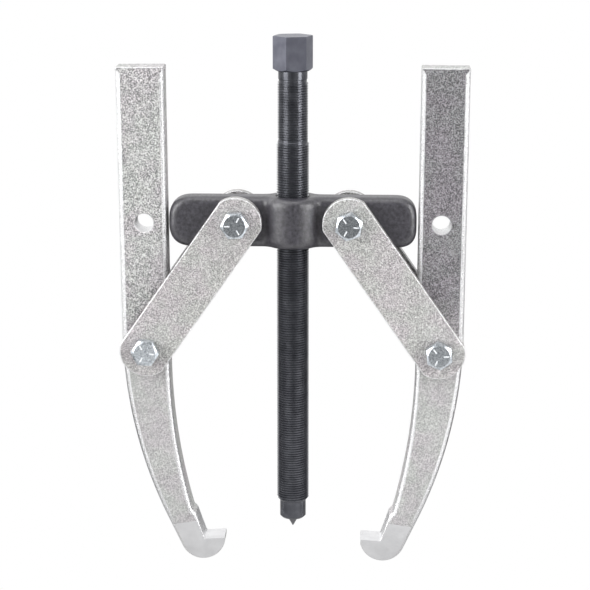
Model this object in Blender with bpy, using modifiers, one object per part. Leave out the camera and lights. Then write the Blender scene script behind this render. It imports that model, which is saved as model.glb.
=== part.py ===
"""Two-jaw adjustable gear puller.

The frame: the origin is on the forcing screw's axis at half the yoke's height,
+Z runs up the screw towards its hex head, +X to the right jaw, and -Y to the
side of the bolt heads. Lengths are in metres; a bare number times MM is in
millimetres.
"""
import math

import bmesh
import bpy

MM = 0.001

# Fits between neighbouring pieces
GAP = 0.3 * MM                      # faces that touch on the real tool
HOLE_RADIUS = 5.95 * MM             # every bolt hole

# Yoke
BOLT_X = 36.0 * MM                  # yoke bolts, left and right of the screw
YOKE_HALF_LENGTH = 78.8 * MM
YOKE_HALF_HEIGHT = 16.5 * MM
YOKE_HALF_DEPTH = 9.3 * MM
YOKE_END_RADIUS = 13.0 * MM
YOKE_EDGE = 3.5 * MM                # rounding of the forging's edges
BOSS_RADIUS = 19.0 * MM
BOSS_FILLET = 5.0 * MM
BORE_RADIUS = 10.65 * MM

# Forcing screw, 13/16 inch by 16 threads to the inch
SCREW_RADIUS = 10.32 * MM
SCREW_UPPER_RADIUS = 9.6 * MM
NECK_RADIUS = 9.2 * MM
NOSE_RADIUS = 8.45 * MM
HEX_TOP = 117.4 * MM
HEX_BOTTOM = 95.4 * MM
NECK_BOTTOM = 90.4 * MM
UPPER_THREAD_END = 51.8 * MM
THREAD_END = -188.0 * MM
NOSE_END = -199.8 * MM
HEX_ACROSS_FLATS = 22.225 * MM
HEX_TURN = 13.4                     # degrees of a hex corner from +X

# Free-turning point in the screw's nose
POINT_RADIUS = 3.8 * MM
POINT_LENGTH = 6.4 * MM
POINT_SHANK = 15.5 * MM

# Straps
STRAP_PITCH = 101.6 * MM            # hole to hole
STRAP_ANGLE = 55.2                  # degrees below horizontal
STRAP_HALF_WIDTH = 15.875 * MM
STRAP_END_RADIUS = 16.9 * MM
STRAP_THICKNESS = 6.35 * MM
STRAP_EDGE = 0.6 * MM

# Jaws, measured from the strap bolt: u runs outwards and w up
JAW_TILT = 0.35                     # degrees, hook towards the screw
JAW_INSIDE = 14.4 * MM                # from the pivot to the edge facing the screw
JAW_OUTSIDE = 15.9 * MM
JAW_HALF_DEPTH = 9.3 * MM
JAW_TOP = 181.7 * MM
JAW_HOLE_PITCH = 82.55 * MM
JAW_EDGE = 2.6 * MM
INNER_BEND_START = -10.5 * MM
INNER_BEND_RADIUS = 390.0 * MM
OUTER_BEND_START = 9.7 * MM
HOOK_CENTER = (-33.8 * MM, -129.2 * MM)
HOOK_RADIUS = 15.0 * MM
HOOK_SLOPE = 24.5                   # degrees of the outer edge from vertical
LEDGE_TOP = -110.7 * MM
LEDGE_CORNER = (-29.6 * MM, -112.8 * MM)
THROAT = (-35.4 * MM, -130.2 * MM)
HOOK_TIP = (-48.4 * MM, -129.4 * MM)
HOOK_TIP_LOW = (-48.4 * MM, -132.4 * MM)
MACHINED_TOP = -117.0 * MM          # the hook's milled sides start here
MACHINED_DEPTH = 0.3 * MM

# Bolts, 7/16 inch, and their lock nuts
BOLT_RADIUS = 5.556 * MM
BOLT_LENGTH = 44.45 * MM
HEAD_ACROSS_FLATS = 15.875 * MM
HEAD_HEIGHT = 7.1 * MM
NUT_ACROSS_FLATS = 17.46 * MM
NUT_HEIGHT = 11.1 * MM
NUT_BORE = 5.86 * MM
INSERT_OUTER = 7.2 * MM
HEAD_TURN = {                       # degrees of a hex corner above +X
    "left_yoke_bolt": 3.0,
    "right_yoke_bolt": 20.0,
    "left_jaw_bolt": -3.0,
    "right_jaw_bolt": 36.0,
}
NUT_TURN = 12.0

# Where the layers lie across the tool
STRAP_INNER_Y = YOKE_HALF_DEPTH + GAP
STRAP_OUTER_Y = STRAP_INNER_Y + STRAP_THICKNESS
SEAT_Y = STRAP_OUTER_Y + GAP

SIDES = {"left": -1, "right": 1}

COLOURS = {                         # base colour, roughness, metallic
    "black_forging": ((0.045, 0.043, 0.048), 0.45, 0.6),
    "black_oxide": ((0.035, 0.034, 0.042), 0.35, 0.8),
    "hardened_steel": ((0.16, 0.16, 0.17), 0.35, 0.9),
    "zinc_forging": ((0.62, 0.62, 0.63), 0.45, 0.9),
    "zinc_plate": ((0.60, 0.60, 0.61), 0.4, 0.9),
    "zinc_hardware": ((0.42, 0.46, 0.52), 0.3, 0.95),
    "nylon": ((0.75, 0.77, 0.80), 0.5, 0.0),
}


def clear_scene():
    for obj in list(bpy.data.objects):
        bpy.data.objects.remove(obj, do_unlink=True)


def new_collection(name):
    collection = bpy.data.collections.new(name)
    bpy.context.scene.collection.children.link(collection)
    return collection


def make_materials():
    made = {}
    for name, (colour, roughness, metallic) in COLOURS.items():
        material = bpy.data.materials.new(name)
        material.use_nodes = True
        shader = material.node_tree.nodes["Principled BSDF"]
        shader.inputs["Base Color"].default_value = (*colour, 1.0)
        shader.inputs["Roughness"].default_value = roughness
        shader.inputs["Metallic"].default_value = metallic
        made[name] = material
    return made


def empty(name, location, parent=None):
    pivot = bpy.data.objects.new(name, None)
    PARTS.objects.link(pivot)
    pivot.location = location
    pivot.parent = parent
    return pivot


def arc(center, radius, start, end, steps):
    """Points from start to end degrees, counterclockwise when end > start."""
    points = []
    for i in range(steps + 1):
        angle = math.radians(start + (end - start) * i / steps)
        points.append((center[0] + radius * math.cos(angle),
                       center[1] + radius * math.sin(angle)))
    return points


def extruded(name, outline, half_depth, collection, upright=True):
    """A closed outline as a solid: in XZ when upright, else in XY."""
    curve = bpy.data.curves.new(name, "CURVE")
    curve.dimensions = "2D"
    curve.fill_mode = "BOTH"
    curve.extrude = half_depth
    spline = curve.splines.new("POLY")
    spline.points.add(len(outline) - 1)
    for point, (x, y) in zip(spline.points, outline):
        point.co = (x, y, 0.0, 1.0)
    spline.use_cyclic_u = True
    guide = bpy.data.objects.new(name + "_outline", curve)
    collection.objects.link(guide)
    if upright:
        guide.rotation_euler = (math.pi / 2, 0.0, 0.0)
    bpy.context.view_layer.update()
    graph = bpy.context.evaluated_depsgraph_get()
    mesh = bpy.data.meshes.new_from_object(guide.evaluated_get(graph))
    mesh.name = name
    work = bmesh.new()
    work.from_mesh(mesh)
    bmesh.ops.remove_doubles(work, verts=work.verts, dist=1e-6)
    bmesh.ops.recalc_face_normals(work, faces=work.faces)
    # one face at each end, so that a bevel keeps to the outline
    flat = [edge for edge in work.edges if edge.calc_face_angle(1.0) < 1e-4]
    bmesh.ops.dissolve_edges(work, edges=flat)
    work.to_mesh(mesh)
    work.free()
    solid = bpy.data.objects.new(name, mesh)
    collection.objects.link(solid)
    solid.matrix_world = guide.matrix_world
    bpy.data.objects.remove(guide, do_unlink=True)
    return solid


def turned(name, profile, steps, collection, closed=False):
    """A profile of (radius, height) points, turned about the object's Z."""
    mesh = bpy.data.meshes.new(name)
    work = bmesh.new()
    verts = [work.verts.new((r, 0.0, z)) for r, z in profile]
    for a, b in zip(verts, verts[1:]):
        work.edges.new((a, b))
    if closed:
        work.edges.new((verts[-1], verts[0]))
    work.to_mesh(mesh)
    work.free()
    obj = bpy.data.objects.new(name, mesh)
    collection.objects.link(obj)
    screw = obj.modifiers.new("turn", "SCREW")
    screw.axis = "Z"
    screw.angle = math.tau
    screw.steps = steps
    screw.render_steps = steps
    screw.use_merge_vertices = True
    screw.merge_threshold = 1e-6
    return obj


def make_cutter(name, mesh_maker, location, rotation=(0.0, 0.0, 0.0), parent=None):
    mesh = bpy.data.meshes.new(name)
    work = bmesh.new()
    mesh_maker(work)
    work.to_mesh(mesh)
    work.free()
    cutter = bpy.data.objects.new(name, mesh)
    CUTTERS.objects.link(cutter)
    cutter.location = location
    cutter.rotation_euler = rotation
    cutter.parent = parent
    cutter.hide_render = True
    cutter.display_type = "WIRE"
    return cutter


def cylinder_maker(radius, length, segments):
    def make(work):
        bmesh.ops.create_cone(work, cap_ends=True, segments=segments,
                              radius1=radius, radius2=radius, depth=length)
    return make


def box_maker(size):
    def make(work):
        bmesh.ops.create_cube(work, size=1.0)
        bmesh.ops.scale(work, verts=work.verts, vec=size)
    return make


def boolean(obj, cutter, operation="DIFFERENCE"):
    modifier = obj.modifiers.new(cutter.name, "BOOLEAN")
    modifier.operation = operation
    modifier.object = cutter
    modifier.solver = "EXACT"


def cross_hole(obj, name, radius, location, parent=None):
    """A round hole through obj, front to back."""
    cutter = make_cutter(name, cylinder_maker(radius, 80 * MM, 32), location,
                         (math.pi / 2, 0.0, 0.0), parent)
    boolean(obj, cutter)


def trim_to_hex(obj, across_flats, corner_angle):
    """Leave of a turned piece what lies inside a hexagon about its own Z."""
    prism = cylinder_maker(across_flats / math.sqrt(3.0), 700 * MM, 6)
    # the prism's first corner is on +Y, which is 30 degrees past one on +X
    turn = math.radians(corner_angle - 30.0)
    cutter = make_cutter(obj.name + "_flats", prism, (0.0, 0.0, 0.0),
                         (0.0, 0.0, turn), obj)
    boolean(obj, cutter, "INTERSECT")


def bevel(obj, width, segments, by_weight=False):
    modifier = obj.modifiers.new("edges", "BEVEL")
    modifier.width = width
    modifier.segments = segments
    modifier.limit_method = "WEIGHT" if by_weight else "ANGLE"
    modifier.angle_limit = math.radians(50)


def finish(obj, material, smooth=True):
    obj.data.materials.clear()
    obj.data.materials.append(MATERIALS[material])
    if smooth:
        obj.data.shade_smooth()


def yoke_plan(overrun):
    """The yoke from above: a boss between two arms, run on past their ends."""
    reach = BOSS_RADIUS + BOSS_FILLET
    center_y = YOKE_HALF_DEPTH + BOSS_FILLET
    center_x = math.sqrt(reach ** 2 - center_y ** 2)
    lean = math.degrees(math.atan2(center_y, center_x))
    fillet = arc((center_x, center_y), BOSS_FILLET, 270.0, 180.0 + lean, 5)
    boss = arc((0.0, 0.0), BOSS_RADIUS, lean, 180.0 - lean, 12)
    back_right = [(YOKE_HALF_LENGTH + overrun, YOKE_HALF_DEPTH)] + fillet
    back = back_right + boss[1:-1] + [(-x, y) for x, y in reversed(back_right)]
    return back + [(-x, -y) for x, y in back]


def yoke_front():
    """The yoke from the front: a bar with rounded ends."""
    straight = YOKE_HALF_LENGTH - YOKE_END_RADIUS
    rise = YOKE_HALF_HEIGHT - YOKE_END_RADIUS
    end = arc((straight, -rise), YOKE_END_RADIUS, -90.0, 0.0, 7)
    end += arc((straight, rise), YOKE_END_RADIUS, 0.0, 90.0, 7)
    return end + [(-x, -z) for x, z in end]


def make_yoke():
    yoke = extruded("yoke", yoke_front(), 2 * BOSS_RADIUS, PARTS)
    overrun = 10 * MM
    plan = extruded("yoke_plan", yoke_plan(overrun), YOKE_HALF_HEIGHT + overrun,
                    CUTTERS, upright=False)
    plan.hide_render = True
    plan.display_type = "WIRE"
    boolean(yoke, plan, "INTERSECT")
    bevel(yoke, YOKE_EDGE, 2)
    bore = make_cutter("yoke_bore", cylinder_maker(BORE_RADIUS, 80 * MM, 48),
                       (0.0, 0.0, 0.0))
    boolean(yoke, bore)
    for side, sign in SIDES.items():
        cross_hole(yoke, side + "_yoke_hole", HOLE_RADIUS,
                   (sign * BOLT_X, 0.0, 0.0))
    finish(yoke, "black_forging")


def make_screw(parent):
    corner = HEX_ACROSS_FLATS / math.sqrt(3.0)
    chamfer = corner - 10.2 * MM
    profile = [
        (0.0, HEX_TOP),
        (10.2 * MM, HEX_TOP),
        (corner, HEX_TOP - chamfer * math.tan(math.radians(30))),
        (corner, HEX_BOTTOM + 2.0 * MM),
        (10.8 * MM, HEX_BOTTOM),
        (NECK_RADIUS, HEX_BOTTOM),
        (NECK_RADIUS, NECK_BOTTOM),
        (SCREW_UPPER_RADIUS, NECK_BOTTOM - 0.6 * MM),
        (SCREW_UPPER_RADIUS, UPPER_THREAD_END),
        (SCREW_RADIUS, UPPER_THREAD_END - 1.0 * MM),
        (SCREW_RADIUS, THREAD_END + 2.0 * MM),
        (NOSE_RADIUS, THREAD_END),
        (NOSE_RADIUS, NOSE_END + 1.3 * MM),
        (NOSE_RADIUS - 1.3 * MM, NOSE_END),
        (POINT_RADIUS + GAP, NOSE_END),
        (POINT_RADIUS + GAP, NOSE_END + POINT_SHANK + GAP),
        (0.0, NOSE_END + POINT_SHANK + GAP),
    ]
    screw = turned("forcing_screw", profile, 48, PARTS)
    screw.parent = parent
    trim_to_hex(screw, HEX_ACROSS_FLATS, HEX_TURN)
    finish(screw, "black_oxide")


def make_point(parent):
    profile = [
        (0.0, NOSE_END + POINT_SHANK),
        (POINT_RADIUS, NOSE_END + POINT_SHANK),
        (POINT_RADIUS, NOSE_END),
        (0.2 * MM, NOSE_END - POINT_LENGTH),
        (0.0, NOSE_END - POINT_LENGTH),
    ]
    point = turned("center_point", profile, 24, PARTS)
    point.parent = parent
    finish(point, "hardened_steel")


def strap_outline():
    """Two holes' distance long, with round ends that meet the sides in corners."""
    half_angle = math.degrees(math.asin(STRAP_HALF_WIDTH / STRAP_END_RADIUS))
    near = arc((0.0, 0.0), STRAP_END_RADIUS, 180.0 - half_angle,
               180.0 + half_angle, 12)
    far = arc((STRAP_PITCH, 0.0), STRAP_END_RADIUS, -half_angle, half_angle, 12)
    return near + far


def make_strap(side, place, pivot):
    sign = SIDES[side]
    name = side + "_" + place + "_strap"
    strap = extruded(name, strap_outline(), STRAP_THICKNESS / 2, PARTS)
    depth = STRAP_INNER_Y + STRAP_THICKNESS / 2
    strap.parent = pivot
    strap.location = (0.0, -depth if place == "front" else depth, 0.0)
    lean = math.radians(STRAP_ANGLE if sign > 0 else 180.0 - STRAP_ANGLE)
    # about Y a positive turn lowers the strap's far end
    strap.rotation_mode = "XZY"
    strap.rotation_euler = (math.pi / 2, lean, 0.0)
    bevel(strap, STRAP_EDGE, 1)
    for end, reach in (("yoke", 0.0), ("jaw", STRAP_PITCH)):
        x = sign * reach * math.cos(math.radians(STRAP_ANGLE))
        z = -reach * math.sin(math.radians(STRAP_ANGLE))
        cross_hole(strap, name + "_" + end + "_hole", HOLE_RADIUS, (x, 0.0, z),
                   pivot)
    finish(strap, "zinc_plate")


def jaw_outline():
    """The right jaw's outline, counterclockwise from its outer top corner."""
    slope = math.radians(HOOK_SLOPE)
    # the outer edge: straight, a long bend, straight, then round the hook
    hook_start = (HOOK_CENTER[0] + HOOK_RADIUS * math.cos(slope),
                  HOOK_CENTER[1] - HOOK_RADIUS * math.sin(slope))
    run = (JAW_OUTSIDE - hook_start[0]) * math.cos(slope)
    drop = (OUTER_BEND_START - hook_start[1]) * math.sin(slope)
    outer_radius = (drop - run) / (1.0 - math.cos(slope))
    outer = arc((JAW_OUTSIDE - outer_radius, OUTER_BEND_START), outer_radius,
                -HOOK_SLOPE, 0.0, 8)
    tip_angle = math.degrees(math.atan2(HOOK_TIP_LOW[1] - HOOK_CENTER[1],
                                        HOOK_TIP_LOW[0] - HOOK_CENTER[0]))
    hook = arc(HOOK_CENTER, HOOK_RADIUS, tip_angle % 360.0, 360.0 - HOOK_SLOPE, 14)
    # the inner edge bends towards the screw down to the ledge
    drop = INNER_BEND_START - LEDGE_TOP
    sweep = math.degrees(math.asin(drop / INNER_BEND_RADIUS))
    inner = arc((-JAW_INSIDE - INNER_BEND_RADIUS, INNER_BEND_START),
                INNER_BEND_RADIUS, 0.0, -sweep, 6)
    top = [(JAW_OUTSIDE, JAW_TOP), (-JAW_INSIDE, JAW_TOP)]
    return top + inner + [LEDGE_CORNER, THROAT, HOOK_TIP] + hook + outer


def weigh_jaw_edges(jaw):
    """Round the forged edges; the cut top and the corner of the throat stay sharp."""
    mesh = jaw.data
    weights = mesh.attributes.new("bevel_weight_edge", "FLOAT", "EDGE")
    for edge in mesh.edges:
        ends = [mesh.vertices[i].co for i in edge.vertices]
        along_face = abs(ends[0].z - ends[1].z) < 1e-6
        at_throat = any(math.hypot(abs(end.x) + THROAT[0], end.y - THROAT[1]) < 1e-5
                        for end in ends)
        at_top = all(abs(end.y - JAW_TOP) < 1e-6 for end in ends)
        rounded = along_face and not at_throat and not at_top
        weights.data[edge.index].value = float(rounded)


def make_jaw(side, pivot):
    sign = SIDES[side]
    outline = [(sign * u, w) for u, w in jaw_outline()]
    if sign < 0:
        outline.reverse()
    name = side + "_jaw"
    jaw = extruded(name, outline, JAW_HALF_DEPTH, PARTS)
    jaw.parent = pivot
    weigh_jaw_edges(jaw)
    bevel(jaw, JAW_EDGE, 2, by_weight=True)
    cross_hole(jaw, side + "_jaw_pivot_hole", HOLE_RADIUS, (0.0, 0.0, 0.0), pivot)
    cross_hole(jaw, side + "_jaw_reach_hole", HOLE_RADIUS,
               (0.0, 0.0, JAW_HOLE_PITCH), pivot)
    height = 40 * MM
    for place, face in (("front", -1), ("rear", 1)):
        middle = (sign * HOOK_CENTER[0],
                  face * (JAW_HALF_DEPTH - MACHINED_DEPTH + 5 * MM),
                  MACHINED_TOP - height / 2)
        mill = make_cutter(name + "_" + place + "_mill",
                           box_maker((70 * MM, 10 * MM, height)), middle,
                           (0.0, 0.0, 0.0), pivot)
        boolean(jaw, mill)
    finish(jaw, "zinc_forging")


def make_bolt(name, location, parent):
    corner = HEAD_ACROSS_FLATS / math.sqrt(3.0)
    face = 7.5 * MM
    washer = 0.4 * MM
    profile = [
        (0.0, HEAD_HEIGHT),
        (face, HEAD_HEIGHT),
        (corner, HEAD_HEIGHT - (corner - face) * math.tan(math.radians(30))),
        (corner, washer),
        (face, washer),
        (face, 0.0),
        (BOLT_RADIUS, 0.0),
        (BOLT_RADIUS, -BOLT_LENGTH + 1.0 * MM),
        (BOLT_RADIUS - 1.0 * MM, -BOLT_LENGTH),
        (0.0, -BOLT_LENGTH),
    ]
    bolt = turned(name, profile, 24, PARTS)
    place_turned(bolt, location, parent, -1)
    trim_to_hex(bolt, HEAD_ACROSS_FLATS, HEAD_TURN[name])
    finish(bolt, "zinc_hardware")


def make_nut(name, location, parent):
    corner = NUT_ACROSS_FLATS / math.sqrt(3.0)
    seat = 8.4 * MM
    flats_top = 7.6 * MM
    collar = 8.0 * MM
    lip = 6.6 * MM
    pocket = INSERT_OUTER + GAP
    profile = [
        (collar - 1.0 * MM, NUT_HEIGHT),
        (collar, NUT_HEIGHT - 1.0 * MM),
        (collar, flats_top + 1.0 * MM),
        (seat, flats_top + 1.0 * MM),
        (corner, flats_top),
        (corner, (corner - seat) * math.tan(math.radians(30))),
        (seat, 0.0),
        (NUT_BORE + 0.4 * MM, 0.0),
        (NUT_BORE, 0.4 * MM),
        (NUT_BORE, flats_top),
        (pocket, flats_top),
        (pocket, NUT_HEIGHT - 0.7 * MM),
        (lip, NUT_HEIGHT - 0.7 * MM),
        (lip, NUT_HEIGHT),
    ]
    nut = turned(name, profile, 24, PARTS, closed=True)
    place_turned(nut, location, parent, 1)
    trim_to_hex(nut, NUT_ACROSS_FLATS, NUT_TURN)
    finish(nut, "zinc_hardware")
    low = flats_top + GAP
    high = NUT_HEIGHT - 0.7 * MM - GAP
    ring = [(INSERT_OUTER, high), (INSERT_OUTER, low), (NUT_BORE, low),
            (NUT_BORE, high)]
    insert = turned(name + "_insert", ring, 24, PARTS, closed=True)
    place_turned(insert, location, parent, 1)
    finish(insert, "nylon")


def place_turned(obj, location, parent, towards):
    """Stand a turned piece's own +Z along -Y (towards -1) or +Y (towards 1)."""
    obj.parent = parent
    obj.location = location
    obj.rotation_euler = (-towards * math.pi / 2, 0.0, 0.0)


def make_fastener(name, parent):
    make_bolt(name + "_bolt", (0.0, -SEAT_Y, 0.0), parent)
    make_nut(name + "_nut", (0.0, SEAT_Y, 0.0), parent)


def make_side(side):
    sign = SIDES[side]
    yoke_axis = empty(side + "_yoke_bolt_axis", (sign * BOLT_X, 0.0, 0.0))
    make_fastener(side + "_yoke", yoke_axis)
    strap_pivot = empty(side + "_strap_pivot", (sign * BOLT_X, 0.0, 0.0))
    for place in ("front", "rear"):
        make_strap(side, place, strap_pivot)
    angle = math.radians(STRAP_ANGLE)
    reach = (sign * STRAP_PITCH * math.cos(angle), 0.0,
             -STRAP_PITCH * math.sin(angle))
    bolt_axis = empty(side + "_jaw_bolt_axis", reach, strap_pivot)
    make_fastener(side + "_jaw", bolt_axis)
    jaw_pivot = empty(side + "_jaw_pivot", reach, strap_pivot)
    jaw_pivot.rotation_euler = (0.0, sign * math.radians(JAW_TILT), 0.0)
    make_jaw(side, jaw_pivot)


clear_scene()
PARTS = new_collection("gear_puller")
CUTTERS = new_collection("cutters")
MATERIALS = make_materials()

make_yoke()
feed = empty("screw_feed", (0.0, 0.0, 0.0))
turn = empty("screw_turn", (0.0, 0.0, 0.0), feed)
make_point(feed)
make_screw(turn)
for side_name in SIDES:
    make_side(side_name)
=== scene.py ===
import math

import bmesh
import bpy
import numpy as np
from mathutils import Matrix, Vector


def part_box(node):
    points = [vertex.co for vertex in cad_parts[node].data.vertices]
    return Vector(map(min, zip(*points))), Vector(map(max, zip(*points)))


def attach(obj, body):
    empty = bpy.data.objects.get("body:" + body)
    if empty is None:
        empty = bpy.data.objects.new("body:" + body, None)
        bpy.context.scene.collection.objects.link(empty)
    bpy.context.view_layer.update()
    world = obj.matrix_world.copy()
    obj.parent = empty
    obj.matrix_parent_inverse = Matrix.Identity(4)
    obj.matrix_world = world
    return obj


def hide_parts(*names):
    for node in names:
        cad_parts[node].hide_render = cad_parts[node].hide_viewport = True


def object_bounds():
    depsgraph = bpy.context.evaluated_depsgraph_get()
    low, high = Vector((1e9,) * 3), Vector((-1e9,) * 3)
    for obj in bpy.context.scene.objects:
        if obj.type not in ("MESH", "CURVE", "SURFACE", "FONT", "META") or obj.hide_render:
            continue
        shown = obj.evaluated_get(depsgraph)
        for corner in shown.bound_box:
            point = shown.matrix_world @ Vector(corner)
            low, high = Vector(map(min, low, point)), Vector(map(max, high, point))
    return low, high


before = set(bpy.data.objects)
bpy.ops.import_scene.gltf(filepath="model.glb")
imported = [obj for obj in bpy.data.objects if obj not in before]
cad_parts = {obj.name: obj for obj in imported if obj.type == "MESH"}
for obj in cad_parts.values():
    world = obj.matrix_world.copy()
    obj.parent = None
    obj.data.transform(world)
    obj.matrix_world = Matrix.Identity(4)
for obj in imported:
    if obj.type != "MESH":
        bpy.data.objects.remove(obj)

MM = 0.001
SIDES = {"left": -1, "right": 1}


def center_of(node):
    low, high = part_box(node)
    return (low + high) / 2


def box_list(bounds):
    return [list(corner) for corner in bounds]


CAD_BOX = box_list(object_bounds())

# ---------------------------------------------------------------- measures
YOKE_LOW, YOKE_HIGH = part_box("yoke")
SCREW_LOW, SCREW_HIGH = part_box("forcing_screw")
POINT_LOW, POINT_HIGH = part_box("center_point")
STRAP_LOW, STRAP_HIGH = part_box("right_front_strap")
JAW_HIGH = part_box("right_jaw")[1]

BOLT_X = center_of("right_yoke_bolt").x
JAW_BOLT = center_of("right_jaw_bolt")
STRAP_PITCH = math.hypot(JAW_BOLT.x - BOLT_X, JAW_BOLT.z)
STRAP_LEAN = math.atan2(-JAW_BOLT.z, JAW_BOLT.x - BOLT_X)
STRAP_THICKNESS = STRAP_HIGH.y - STRAP_LOW.y
SEAT_Y = -STRAP_LOW.y + 0.3 * MM            # bolt heads and nuts sit here
HOLE_RADIUS = 5.95 * MM

SCREW_PITCH = 25.4 * MM / 16
BOLT_PITCH = 25.4 * MM / 14

# The jaw, from its pivot: u runs outwards and w up
JAW_TILT = math.radians(0.35)
JAW_INSIDE = 14.4 * MM                      # from the pivot to the edge by the screw
JAW_OUTSIDE = 15.9 * MM
JAW_HALF_DEPTH = JAW_HIGH.y
JAW_TOP = 181.7 * MM
JAW_REACH_HOLE = 82.55 * MM
JAW_EDGE = 3.0 * MM
INNER_BEND_START = -10.5 * MM
INNER_BEND_RADIUS = 390.0 * MM
OUTER_BEND_START = 9.7 * MM
HOOK_CENTER = (-33.8 * MM, -129.2 * MM)
HOOK_RADIUS = 14.96 * MM
HOOK_SLOPE = 24.5
LEDGE_TOP = -110.7 * MM
LEDGE_CORNER = (-29.6 * MM, -112.8 * MM)
THROAT = (-35.4 * MM, -130.2 * MM)
HOOK_TIP = (-48.4 * MM, -129.4 * MM)
MILLED_TOP = -117.0 * MM
MILLED_DEPTH = 0.3 * MM
MILLED_LEAN = math.radians(9.0)


# ------------------------------------------------------------ mesh helpers
def mesh_object(name, verts, faces):
    mesh = bpy.data.meshes.new(name)
    mesh.from_pydata([tuple(v) for v in verts], [], faces)
    work = bmesh.new()
    work.from_mesh(mesh)
    bmesh.ops.recalc_face_normals(work, faces=work.faces)
    work.to_mesh(mesh)
    work.free()
    obj = bpy.data.objects.new(name, mesh)
    bpy.context.scene.collection.objects.link(obj)
    return obj


def add_modifier(obj, kind, **settings):
    modifier = obj.modifiers.new(kind.lower(), kind)
    for key, value in settings.items():
        setattr(modifier, key, value)
    return modifier


def apply_modifiers(obj):
    bpy.context.view_layer.update()
    graph = bpy.context.evaluated_depsgraph_get()
    mesh = bpy.data.meshes.new_from_object(obj.evaluated_get(graph))
    obj.modifiers.clear()
    obj.data = mesh


def boolean(obj, cutter, operation="DIFFERENCE"):
    add_modifier(obj, "BOOLEAN", operation=operation, object=cutter, solver="EXACT")
    apply_modifiers(obj)
    bpy.data.objects.remove(cutter, do_unlink=True)


def join(obj, *others):
    """Add the other objects' meshes to obj's, all in world space."""
    work = bmesh.new()
    work.from_mesh(obj.data)
    for other in others:
        other.data.transform(obj.matrix_world.inverted() @ other.matrix_world)
        work.from_mesh(other.data)
        bpy.data.objects.remove(other, do_unlink=True)
    work.to_mesh(obj.data)
    work.free()


def shade(obj, angle=30.0, weighted=True):
    obj.data.shade_smooth()
    obj.data.set_sharp_from_angle(angle=math.radians(angle))
    if weighted:
        add_modifier(obj, "WEIGHTED_NORMAL", weight=100, keep_sharp=True)
        apply_modifiers(obj)


def use_material(obj, index):
    for face in obj.data.polygons:
        face.material_index = index


def arc(center, radius, start, end, steps):
    angles = np.radians(np.linspace(start, end, steps + 1))
    return [(center[0] + radius * math.cos(a), center[1] + radius * math.sin(a))
            for a in angles]


def soften(points, radius, steps=3, closed=False):
    """Round the corners of a line of points; radius is one value or one for each."""
    count = len(points)
    made = []
    for i, point in enumerate(points):
        size = radius[i] if isinstance(radius, (list, tuple)) else radius
        inside = closed or 0 < i < count - 1
        if not inside or size <= 0.0:
            made.append(tuple(point))
            continue
        here = Vector(point)
        before = Vector(points[i - 1]) - here
        after = Vector(points[(i + 1) % count]) - here
        half = before.angle(after) / 2
        reach = size / math.tan(half)
        reach = min(reach, 0.45 * before.length, 0.45 * after.length)
        start = here + before.normalized() * reach
        end = here + after.normalized() * reach
        for step in range(steps + 1):
            t = step / steps
            made.append(tuple(start * (1 - t) ** 2 + here * 2 * t * (1 - t)
                              + end * t ** 2))
    return made


def lathe(name, profile, steps, closed=False):
    """Turn a profile of (radius, height) points about Z."""
    verts = []
    rings = []
    for radius, height in profile:
        if radius < 1e-9:
            rings.append([len(verts)])
            verts.append((0.0, 0.0, height))
            continue
        rings.append(list(range(len(verts), len(verts) + steps)))
        for i in range(steps):
            angle = math.tau * i / steps
            verts.append((radius * math.cos(angle), radius * math.sin(angle), height))
    faces = []
    pairs = list(zip(rings, rings[1:]))
    if closed:
        pairs.append((rings[-1], rings[0]))
    for upper, lower in pairs:
        for i in range(steps):
            j = (i + 1) % steps
            if len(upper) == 1:
                faces.append((upper[0], lower[i], lower[j]))
            elif len(lower) == 1:
                faces.append((upper[j], upper[i], lower[0]))
            else:
                faces.append((upper[j], upper[i], lower[i], lower[j]))
    return mesh_object(name, verts, faces)


def prism(name, outline, low, high):
    """An outline in XY from low to high."""
    count = len(outline)
    verts = [(x, y, low) for x, y in outline] + [(x, y, high) for x, y in outline]
    faces = [tuple(reversed(range(count))), tuple(range(count, 2 * count))]
    for i in range(count):
        j = (i + 1) % count
        faces.append((i, j, count + j, count + i))
    return mesh_object(name, verts, faces)


def upright_prism(name, outline, half_depth):
    """An outline in XZ, as deep as half_depth to either side of Y = 0."""
    solid = prism(name, outline, -half_depth, half_depth)
    solid.rotation_euler = (math.pi / 2, 0.0, 0.0)
    return solid


def hexagon(across_flats, corner_degrees):
    corner = across_flats / math.sqrt(3.0)
    return [(corner * math.cos(math.radians(corner_degrees + 60 * i)),
             corner * math.sin(math.radians(corner_degrees + 60 * i)))
            for i in range(6)]


def hexed(obj, across_flats, corner_degrees, low, high, edge):
    """Leave what lies in a hexagonal prism about Z, with its edges broken."""
    boolean(obj, prism("hex_cutter", hexagon(across_flats, corner_degrees), low, high),
            "INTERSECT")
    add_modifier(obj, "BEVEL", width=edge, segments=2, limit_method="ANGLE",
                 angle_limit=math.radians(12))
    apply_modifiers(obj)


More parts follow.
